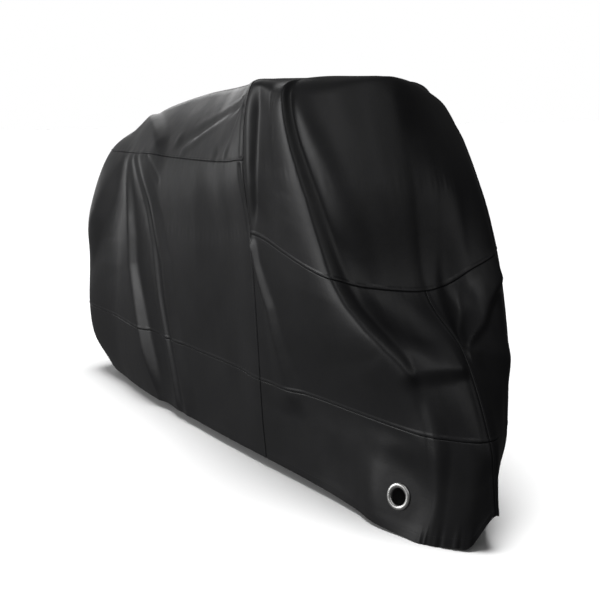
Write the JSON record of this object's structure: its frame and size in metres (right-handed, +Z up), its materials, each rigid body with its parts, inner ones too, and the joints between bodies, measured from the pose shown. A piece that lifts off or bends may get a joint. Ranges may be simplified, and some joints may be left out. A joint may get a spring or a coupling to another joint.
{
  "type": "motorcycle cover",
  "caption": "Fitted all-weather motorcycle cover of black coated cloth, draped as in use, with seamed panels, a skirt and metal lock eyelets.",
  "frame": {"origin": "centre of the bounding box, at the bottom, on the floor", "axes": "+X to the front of the cover, +Y to its left, +Z up"},
  "size_m": [2.4549, 0.8526, 1.23],
  "materials": {
    "coated_cloth": "semi-gloss coated polyester, black",
    "eyelet_metal": "bright plated, rolled rim"
  },
  "bodies": {
    "root": {"rear_top_panel": "coated_cloth", "hood_panel": "coated_cloth", "rear_side_right": "coated_cloth", "front_side_right": "coated_cloth", "skirt_rear_right": "coated_cloth", "skirt_front_right": "coated_cloth", "eyelet_right": "eyelet_metal", "rear_side_left": "coated_cloth", "front_side_left": "coated_cloth", "skirt_rear_left": "coated_cloth", "skirt_front_left": "coated_cloth", "eyelet_left": "eyelet_metal"}
  },
  "joints": []
}
